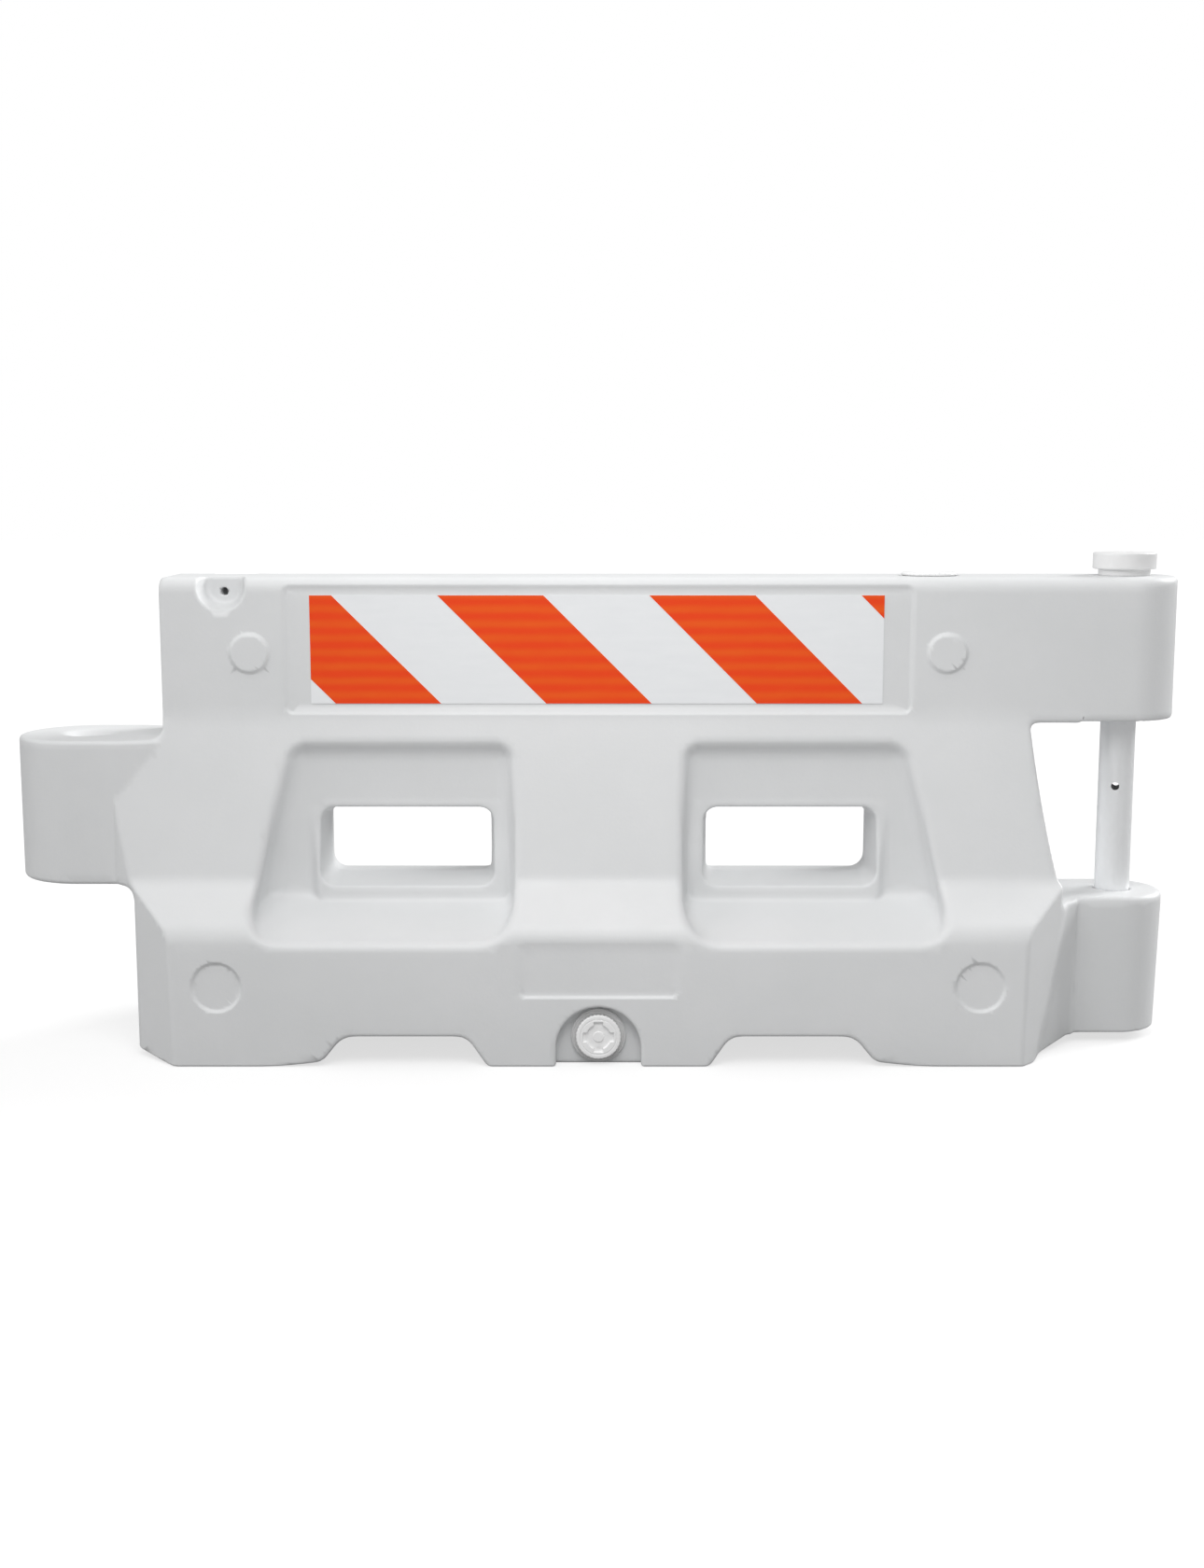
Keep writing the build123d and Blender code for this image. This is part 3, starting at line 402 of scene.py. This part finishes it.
def solid_from(field, low, high, voxel, name, place, adapt):
    """A closed mesh of a distance field; place turns its points in millimetres into the model's frame."""
    low, high = np.array(low, float) - 4 * voxel, np.array(high, float) + 4 * voxel
    count = [int(n) for n in np.ceil((high - low) / voxel)]
    values = np.empty(count, np.float32)
    ys = (low[1] + voxel * np.arange(count[1]))[None, :, None]
    zs = (low[2] + voxel * np.arange(count[2]))[None, None, :]
    for start in range(0, count[0], 32):
        xs = (low[0] + voxel * np.arange(start, min(start + 32, count[0])))[:, None, None]
        values[start:start + 32] = np.clip(field(xs, ys, zs), -3 * voxel, 3 * voxel)
    grid = openvdb.FloatGrid(3 * voxel)
    grid.copyFromArray(values, tolerance=0.0)
    points, triangles, quads = grid.convertToPolygons(isovalue=0.0, adaptivity=adapt)
    points = points.astype(float) * voxel + low
    for _ in range(NEWTON_STEPS):
        value, slope = measure(field, points, voxel * 0.1)
        move = value / np.maximum((slope ** 2).sum(1), 0.2)
        points -= slope * np.clip(move, -0.4 * voxel, 0.4 * voxel)[:, None]
    points, faces = welded(points, triangles.tolist() + quads.tolist())
    normals = measure(field, points, voxel * 0.12)[1]
    mesh = bpy.data.meshes.new(name)
    placed, turned = place(points), place(points + normals) - place(points)
    outward = 0
    for a, b, c in (face[:3] for face in faces[:400]):
        outward += 1 if np.cross(placed[b] - placed[a], placed[c] - placed[a]) @ turned[a] > 0 else -1
    if outward < 0:
        faces = [f[::-1] for f in faces]
    mesh.from_pydata(placed.tolist(), [], faces)
    mesh.validate()
    mesh.polygons.foreach_set("use_smooth", np.ones(len(mesh.polygons), bool))
    turned /= np.maximum(np.linalg.norm(turned, axis=1), 1e-9)[:, None]
    if len(mesh.vertices) == len(turned):
        mesh.normals_split_custom_set_from_vertices(turned.tolist())
    mesh.update()
    thing = bpy.data.objects.new(name, mesh)
    bpy.context.collection.objects.link(thing)
    print(name, len(mesh.vertices), "vertices", len(mesh.polygons), "faces")
    return thing


def measure(field, points, reach):
    """A field's value and slope at scattered points."""
    x, y, z = points[:, 0], points[:, 1], points[:, 2]
    value = field(x, y, z)
    slope = np.stack([field(x + reach, y, z) - field(x - reach, y, z),
                      field(x, y + reach, z) - field(x, y - reach, z),
                      field(x, y, z + reach) - field(x, y, z - reach)], 1) / (2 * reach)
    return value, slope


UPWARDS = ((1, 0, 0), (0, 1, 0), (0, 0, 1))
FORWARDS = ((1, 0, 0), (0, 0, 1), (0, -1, 0))


def facing(origin, across, up, out):
    """A placement whose field axes point across, up and out from an origin in the moulding's millimetres."""
    basis = np.array([across, up, out], float)
    start = np.array(origin, float) + (BODY_X, 0, 0)
    return lambda points: (points @ basis + start) * MM


def round_box(radius, low, high):
    """Corners of the box round a turned piece."""
    reach = math.ceil(radius)
    return (-reach, -reach, low), (reach, reach, high)


def stand_for(thing, body, node, material):
    """A visual piece that rides on a body in place of one CAD node."""
    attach(thing, body)
    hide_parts(node)
    thing.data.materials.append(bpy.data.materials[material])


# ---- materials ----
def new_material(name, colour, roughness, specular=0.5):
    """A principled material and its node tree."""
    mat = bpy.data.materials.get(name) or bpy.data.materials.new(name)
    mat.use_nodes = True
    tree = mat.node_tree
    for node in list(tree.nodes):
        tree.nodes.remove(node)
    shader = tree.nodes.new("ShaderNodeBsdfPrincipled")
    output = tree.nodes.new("ShaderNodeOutputMaterial")
    tree.links.new(shader.outputs["BSDF"], output.inputs["Surface"])
    shader.inputs["Base Color"].default_value = (*colour, 1)
    shader.inputs["Roughness"].default_value = roughness
    shader.inputs["Specular IOR Level"].default_value = specular
    return tree, shader


def coordinates(tree, scale=(1, 1, 1)):
    """Object coordinates in metres, scaled."""
    source = tree.nodes.new("ShaderNodeTexCoord")
    mapping = tree.nodes.new("ShaderNodeMapping")
    mapping.inputs["Scale"].default_value = scale
    tree.links.new(source.outputs["Object"], mapping.inputs["Vector"])
    return mapping.outputs["Vector"]


def noise(tree, vector, scale, detail=3.0, rough=0.5):
    """A noise value."""
    node = tree.nodes.new("ShaderNodeTexNoise")
    node.inputs["Scale"].default_value = scale
    node.inputs["Detail"].default_value = detail
    node.inputs["Roughness"].default_value = rough
    tree.links.new(vector, node.inputs["Vector"])
    return node.outputs["Fac"]


def ramp(tree, value, stops):
    """A colour ramp over a value."""
    node = tree.nodes.new("ShaderNodeValToRGB")
    elements = node.color_ramp.elements
    while len(elements) < len(stops):
        elements.new(0.5)
    for element, (at, colour) in zip(elements, stops):
        element.position = at
        element.color = (*colour, 1)
    tree.links.new(value, node.inputs["Fac"])
    return node.outputs["Color"]


def maths(tree, operation, a, b=None):
    """A maths node over sockets or numbers."""
    node = tree.nodes.new("ShaderNodeMath")
    node.operation = operation
    for index, value in enumerate((a, b)):
        if value is None:
            continue
        if isinstance(value, (int, float)):
            node.inputs[index].default_value = value
        else:
            tree.links.new(value, node.inputs[index])
    return node.outputs["Value"]


def bump(tree, shader, height, strength, distance):
    """A bump on a shader from a height value."""
    node = tree.nodes.new("ShaderNodeBump")
    node.inputs["Strength"].default_value = strength
    node.inputs["Distance"].default_value = distance
    tree.links.new(height, node.inputs["Height"])
    tree.links.new(node.outputs["Normal"], shader.inputs["Normal"])


def grey(level):
    """A neutral colour."""
    return (level, level, level)


def mottled(name, colour, roughness, specular, patch, dark, light):
    """A plain plastic whose tone drifts between two greys; gives its tree, shader and coordinates."""
    tree, shader = new_material(name, colour, roughness, specular)
    vector = coordinates(tree)
    tint = ramp(tree, noise(tree, vector, patch), [(0.3, grey(dark)), (0.7, grey(light))])
    tree.links.new(tint, shader.inputs["Base Color"])
    return tree, shader, vector


def make_shell_plastic():
    """Rotationally moulded polyethylene: faint mottling, fine orange peel and uneven gloss."""
    tree, shader = new_material("shell_plastic", (0.8, 0.8, 0.8), 0.42, 0.4)
    vector = coordinates(tree)
    cloud = noise(tree, vector, 6.0, 4.0, 0.6)
    tint = ramp(tree, cloud, [(0.3, (0.735, 0.745, 0.750)), (0.7, (0.765, 0.772, 0.778))])
    tree.links.new(tint, shader.inputs["Base Color"])
    speck = noise(tree, vector, 900.0, 2.0, 0.6)
    peel = noise(tree, vector, 160.0, 3.0, 0.55)
    bump(tree, shader, maths(tree, "ADD", maths(tree, "MULTIPLY", speck, 0.5), peel), 0.16, 0.0012)
    gloss = ramp(tree, noise(tree, vector, 22.0, 5.0, 0.6), [(0.35, grey(0.38)), (0.65, grey(0.47))])
    tree.links.new(gloss, shader.inputs["Roughness"])


def make_insert_plastic():
    """Injection-moulded rings of the drain and the fill opening."""
    tree, shader, vector = mottled("insert_plastic", (0.70, 0.71, 0.72), 0.35, 0.45, 60.0, 0.66, 0.71)
    bump(tree, shader, noise(tree, vector, 1400.0), 0.12, 0.0005)


def make_plug_plastic():
    """The brighter, glossier plastic of plug and cap."""
    tree, shader, vector = mottled("plug_plastic", (0.86, 0.87, 0.88), 0.28, 0.5, 40.0, 0.95, 0.98)
    bump(tree, shader, noise(tree, vector, 1100.0), 0.10, 0.0005)


def make_gasket_rubber():
    """Matt black rubber."""
    tree, shader = new_material("gasket_rubber", (0.03, 0.03, 0.032), 0.75, 0.3)
    bump(tree, shader, noise(tree, coordinates(tree), 1800.0), 0.3, 0.0004)


def make_galvanised_steel():
    """Hot-dip galvanised pipe: long streaks and spangle."""
    tree, shader = new_material("galvanised_steel", (0.62, 0.63, 0.64), 0.38, 0.5)
    shader.inputs["Metallic"].default_value = 0.35
    streaks = noise(tree, coordinates(tree, (90, 90, 2.2)), 1.0, 4.0, 0.6)
    spangle = tree.nodes.new("ShaderNodeTexVoronoi")
    spangle.inputs["Scale"].default_value = 110.0
    tree.links.new(coordinates(tree, (1, 1, 0.6)), spangle.inputs["Vector"])
    mixed = maths(tree, "ADD", maths(tree, "MULTIPLY", streaks, 0.8),
                  maths(tree, "MULTIPLY", spangle.outputs["Distance"], 18.0))
    tint = ramp(tree, maths(tree, "MULTIPLY", mixed, 0.7),
                [(0.2, (0.72, 0.73, 0.74)), (0.5, (0.86, 0.87, 0.88)), (0.8, (0.95, 0.96, 0.97))])
    tree.links.new(tint, shader.inputs["Base Color"])
    gloss = ramp(tree, streaks, [(0.3, grey(0.3)), (0.7, grey(0.5))])
    tree.links.new(gloss, shader.inputs["Roughness"])
    bump(tree, shader, mixed, 0.10, 0.0004)


def make_pin_head_plastic():
    """The pin's moulded head."""
    tree, shader, vector = mottled("pin_head_plastic", (0.86, 0.87, 0.88), 0.4, 0.45, 30.0, 0.82, 0.87)
    bump(tree, shader, noise(tree, vector, 700.0), 0.15, 0.0006)


def make_sheeting(name, dark, light, banded):
    """Reflective sheeting: fine prisms under a clear face, with faint level bands where banded is 1."""
    tree, shader = new_material(name, light, 0.35, 0.25)
    shader.inputs["Coat Weight"].default_value = 0.08
    shader.inputs["Coat Roughness"].default_value = 0.1
    vector = coordinates(tree)
    split = tree.nodes.new("ShaderNodeSeparateXYZ")
    tree.links.new(vector, split.inputs["Vector"])
    angle = maths(tree, "MULTIPLY", split.outputs["Z"], 2 * math.pi / BAND_PITCH)
    wave = maths(tree, "SINE", angle)
    cells = tree.nodes.new("ShaderNodeTexVoronoi")
    cells.inputs["Scale"].default_value = 420.0
    tree.links.new(vector, cells.inputs["Vector"])
    haze = noise(tree, coordinates(tree, (1, 1, 5)), 14.0, 3.0, 0.6)
    level = maths(tree, "ADD", maths(tree, "MULTIPLY", wave, 0.28 * banded),
                  maths(tree, "MULTIPLY", haze, 1.0 - 0.4 * banded))
    tint = ramp(tree, level, [(0.05, dark), (0.75, light)])
    tree.links.new(tint, shader.inputs["Base Color"])
    bump(tree, shader, cells.outputs["Distance"], 0.06, 0.0002)


def make_materials():
    """Every finish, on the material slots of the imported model."""
    make_shell_plastic()
    make_insert_plastic()
    make_plug_plastic()
    make_gasket_rubber()
    make_galvanised_steel()
    make_pin_head_plastic()
    make_sheeting("sheeting_white", (0.86, 0.875, 0.89), (0.90, 0.912, 0.925), 0.0)
    make_sheeting("sheeting_orange", (0.90, 0.062, 0.007), (0.91, 0.115, 0.009), 1.0)


def area_light(name, place, target, size, power):
    """A soft box aimed at a point."""
    data = bpy.data.lights.new(name, "AREA")
    data.shape = "RECTANGLE"
    data.size, data.size_y = size
    data.energy = power
    light = bpy.data.objects.new(name, data)
    light.location = place
    light.rotation_euler = (Vector(target) - Vector(place)).to_track_quat("-Z", "Y").to_euler()
    bpy.context.collection.objects.link(light)


def broad_light(name, source, spread, strength):
    """A distant soft light from a direction."""
    data = bpy.data.lights.new(name, "SUN")
    data.energy = strength * math.pi
    data.angle = math.radians(spread)
    light = bpy.data.objects.new(name, data)
    light.rotation_euler = (-Vector(source)).to_track_quat("-Z", "Y").to_euler()
    bpy.context.collection.objects.link(light)


def make_studio():
    """Camera, pale floor, white surroundings and the lights."""
    data = bpy.data.cameras.new("view")
    data.lens = CAMERA_LENS
    data.sensor_width = CAMERA_SENSOR
    data.clip_end = 60.0
    camera = bpy.data.objects.new("view", data)
    camera.location = (CAMERA_X + BODY_X * MM, -CAMERA_DISTANCE, CAMERA_HEIGHT)
    camera.rotation_euler = (math.radians(90 - CAMERA_PITCH), 0, 0)
    bpy.context.collection.objects.link(camera)
    bpy.context.scene.camera = camera
    bpy.context.scene.view_settings.view_transform = "Standard"
    world = bpy.data.worlds.new("studio")
    world.use_nodes = True
    tree = world.node_tree
    path = tree.nodes.new("ShaderNodeLightPath")
    strength = maths(tree, "ADD", maths(tree, "MULTIPLY", path.outputs["Is Camera Ray"], 1.0 - SKY), SKY)
    tree.nodes["Background"].inputs["Color"].default_value = (1, 1, 1, 1)
    tree.links.new(strength, tree.nodes["Background"].inputs["Strength"])
    bpy.context.scene.world = world
    bpy.ops.mesh.primitive_plane_add(size=60)
    floor = bpy.context.object
    floor.name = "floor"
    tree, shader = new_material("floor", (0.34, 0.34, 0.34), 0.9, 0.1)
    path = tree.nodes.new("ShaderNodeLightPath")
    glow = maths(tree, "MULTIPLY", path.outputs["Is Camera Ray"], FLOOR_GLOW)
    tree.links.new(glow, shader.inputs["Emission Strength"])
    shader.inputs["Emission Color"].default_value = (1, 1, 1, 1)
    floor.data.materials.append(bpy.data.materials["floor"])
    broad_light("overhead", (-0.08, -0.50, 0.87), 50, OVERHEAD)
    broad_light("side", (0.75, 0.43, 0.50), 30, SIDE)
    broad_light("left", (-0.92, -0.15, 0.36), 40, LEFT)
    area_light("front", (-0.02, -1.3, 1.5), (0, 0, 0.62), (0.9, 0.6), FRONT)


def make_shell():
    """The moulding's outside."""
    low = (-LEFT_AXIS_X - LEFT_R, -BASE_HALF, 0)
    high = (RIGHT_AXIS_X + RIGHT_R, BASE_HALF, WALL_TOP)
    shell = solid_from(shell_field, low, high, 3.0, "shell_skin", facing((0, 0, 0), *UPWARDS), 0.022)
    stand_for(shell, "barrier", "barrier_shell", "shell_plastic")


def make_drain():
    """The drain's threaded ring and its screw plug."""
    def ring_field(u, v, w):
        return insert_field(u, v, w, DRAIN_FLANGE_R, DRAIN_FLANGE_T, DRAIN_SLEEVE_R, DRAIN_SLEEVE_BACK,
                            DRAIN_SHANK_R + THREAD_GAP)

    def plug_field(u, v, w):
        return screw_field(u, v, w, DRAIN_HEAD_R, DRAIN_HEAD_T, DRAIN_SHANK_R, DRAIN_SHANK_L, PLUG_TOOL_R)

    ring = solid_from(ring_field, *round_box(DRAIN_FLANGE_R, -DRAIN_SLEEVE_BACK, DRAIN_FLANGE_T), 0.6,
                      "drain_bushing_threaded", facing((0, -NICHE_FLOOR_Y, DRAIN_Z), *FORWARDS), 0.1)
    stand_for(ring, "barrier", "drain_bushing", "insert_plastic")
    seat = (0, -NICHE_FLOOR_Y - DRAIN_FLANGE_T - DRAIN_GASKET_T, DRAIN_Z)
    plug = solid_from(plug_field, *round_box(DRAIN_HEAD_R, -DRAIN_SHANK_L, DRAIN_HEAD_T), 0.5,
                      "drain_plug_threaded", facing(seat, *FORWARDS), 0.1)
    stand_for(plug, "drain_plug", "drain_plug", "plug_plastic")


def make_fill():
    """The fill opening's threaded neck and its screw cap."""
    def neck_field(u, v, w):
        return insert_field(u, v, w, FILL_FLANGE_R, FILL_FLANGE_T, FILL_SLEEVE_R, FILL_SLEEVE_BACK,
                            FILL_SHANK_R + THREAD_GAP)

    def cap_field(u, v, w):
        return screw_field(u, v, w, FILL_HEAD_R, FILL_HEAD_T, FILL_SHANK_R, FILL_SHANK_L, CAP_TOOL_R)

    neck = solid_from(neck_field, *round_box(FILL_FLANGE_R, -FILL_SLEEVE_BACK, FILL_FLANGE_T), 0.7,
                      "fill_neck_threaded", facing((FILL_X, 0, WALL_TOP - FILL_SEAT_DEPTH), *UPWARDS), 0.1)
    stand_for(neck, "barrier", "fill_neck", "insert_plastic")
    cap = solid_from(cap_field, *round_box(FILL_HEAD_R, -FILL_SHANK_L, FILL_HEAD_T), 0.6,
                     "fill_cap_threaded", facing((FILL_X, 0, WALL_TOP), *UPWARDS), 0.1)
    stand_for(cap, "fill_cap", "fill_cap", "plug_plastic")


def make_pin_head():
    """The coupling pin's head."""
    head = solid_from(head_field, *round_box(HEAD_R, HUB_T - SPIGOT_L, HUB_T + HEAD_T), 0.9,
                      "pin_head_moulded", facing((RIGHT_AXIS_X, 0, WALL_TOP), *UPWARDS), 0.1)
    stand_for(head, "pin", "pin_head", "pin_head_plastic")


make_materials()
make_shell()
make_drain()
make_fill()
make_pin_head()
make_studio()
